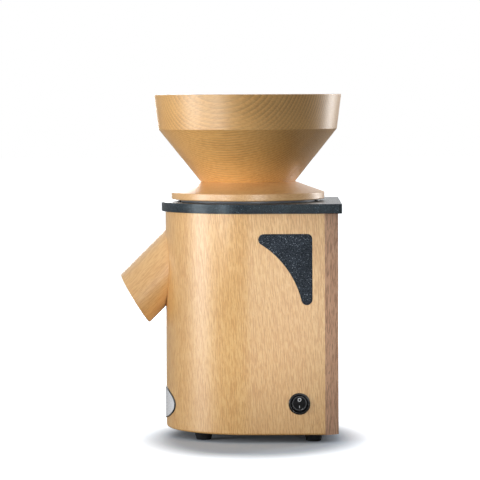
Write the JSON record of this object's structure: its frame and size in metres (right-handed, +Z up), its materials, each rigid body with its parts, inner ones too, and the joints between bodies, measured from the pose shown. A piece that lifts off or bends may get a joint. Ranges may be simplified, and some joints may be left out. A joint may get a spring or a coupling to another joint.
{
  "type": "electric grain mill",
  "caption": "Tabletop electric stone grain mill: turned beech hopper that screws up and down, wooden body, dark top plate, slanted spout, rocker switch.",
  "frame": {"origin": "on the floor under the feet, in the middle of the whole mill's footprint; the mill's axis is 19 mm behind it (+Y)", "axes": "+Z up, -Y to the front where the spout is, +X to the right side with the switch"},
  "size_m": [0.1988, 0.2355, 0.3605],
  "materials": {
    "beech": "oiled beech, satin",
    "dark_beech": "oiled beech, redder and darker",
    "birch_ply": "plywood",
    "composite": "dark blue-grey mineral composite, fine speckle",
    "foot_rubber": "matt black",
    "badge_white": "gloss white, bare",
    "badge_dark": "dark outline",
    "zinc_steel": "zinc plated",
    "cast_aluminium": "cast",
    "thread_brass": "turned",
    "grey_ring": "satin grey",
    "holder_wood": "turned beech",
    "millstone": "coarse corundum ceramic",
    "shaft_steel": "ground steel",
    "core_steel": "laminated sheet steel",
    "winding_copper": "enamelled copper",
    "seal_rubber": "matt black",
    "fan_plastic": "matt black",
    "pale_plastic": "off-white",
    "switch_black": "fine satin black",
    "rocker_black": "gloss black",
    "lead_pvc": "insulated lead"
  },
  "bodies": {
    "housing": {"body_shell": "beech", "rear_panel": "dark_beech", "bottom_plate": "birch_ply", "top_plate": "composite", "corner_blocks": "beech", "plate_dowels": "beech", "foot_front_left": "foot_rubber", "foot_front_right": "foot_rubber", "foot_rear_left": "foot_rubber", "foot_rear_right": "foot_rubber", "foot_screws": "zinc_steel", "rear_panel_screws": "zinc_steel", "side_inlay_right": "composite", "side_inlay_left": "composite", "front_badge": "badge_white", "badge_rim": "badge_dark", "spout": "beech", "grinding_chamber": "cast_aluminium", "chamber_screws": "zinc_steel", "thread_ring": "thread_brass", "thread_ring_screws": "zinc_steel", "upper_bearing": "shaft_steel", "lower_bearing": "shaft_steel", "shaft_seal": "seal_rubber", "motor_upper_bell": "cast_aluminium", "motor_stator": "core_steel", "stator_windings": "winding_copper", "motor_lower_bell": "cast_aluminium", "motor_tie_bolts": "zinc_steel", "motor_screws": "zinc_steel", "run_capacitor": "pale_plastic", "capacitor_clip": "zinc_steel", "terminal_block": "pale_plastic", "switch_body": "switch_black", "switch_terminals": "thread_brass", "switch_pivot": "zinc_steel", "cable_gland": "switch_black", "gland_nut": "switch_black", "wiring": "lead_pvc"},
    "rotor": {"motor_shaft": "shaft_steel", "rotor_core": "core_steel", "cooling_fan": "fan_plastic", "fan_clip": "zinc_steel", "stone_driver": "cast_aluminium", "lower_millstone": "millstone", "driver_screw": "zinc_steel"},
    "adjuster": {"adjust_ring": "grey_ring", "adjust_ring_pins": "zinc_steel"},
    "hopper": {"hopper_bowl": "beech", "hopper_collar": "beech", "finger_guard": "zinc_steel", "stone_holder": "holder_wood", "holder_screws": "zinc_steel", "upper_millstone": "millstone"},
    "rocker": {"switch_rocker": "rocker_black"}
  },
  "joints": [
    {"name": "rotor_spin", "type": "hinge", "parent": "housing", "child": "rotor", "pos_m": [0, 0.019, 0.124], "axis": [0, 0, 1], "continuous": true},
    {"name": "hopper_turn", "type": "hinge", "parent": "housing", "child": "adjuster", "pos_m": [0, 0.019, 0.2475], "axis": [0, 0, 1], "range_deg": [0, 330]},
    {"name": "hopper_rise", "type": "slide", "parent": "adjuster", "child": "hopper", "axis": [0, 0, 1], "range_m": [0, 0.0015]},
    {"name": "switch_rock", "type": "hinge", "parent": "housing", "child": "rocker", "pos_m": [0.09, 0.0723, 0.0407], "axis": [0, 1, 0], "range_deg": [0, 20]}
  ],
  "couplings": [
    {"joint": "hopper_rise", "follows": "hopper_turn", "m_per_rad": 0.00023873}
  ]
}
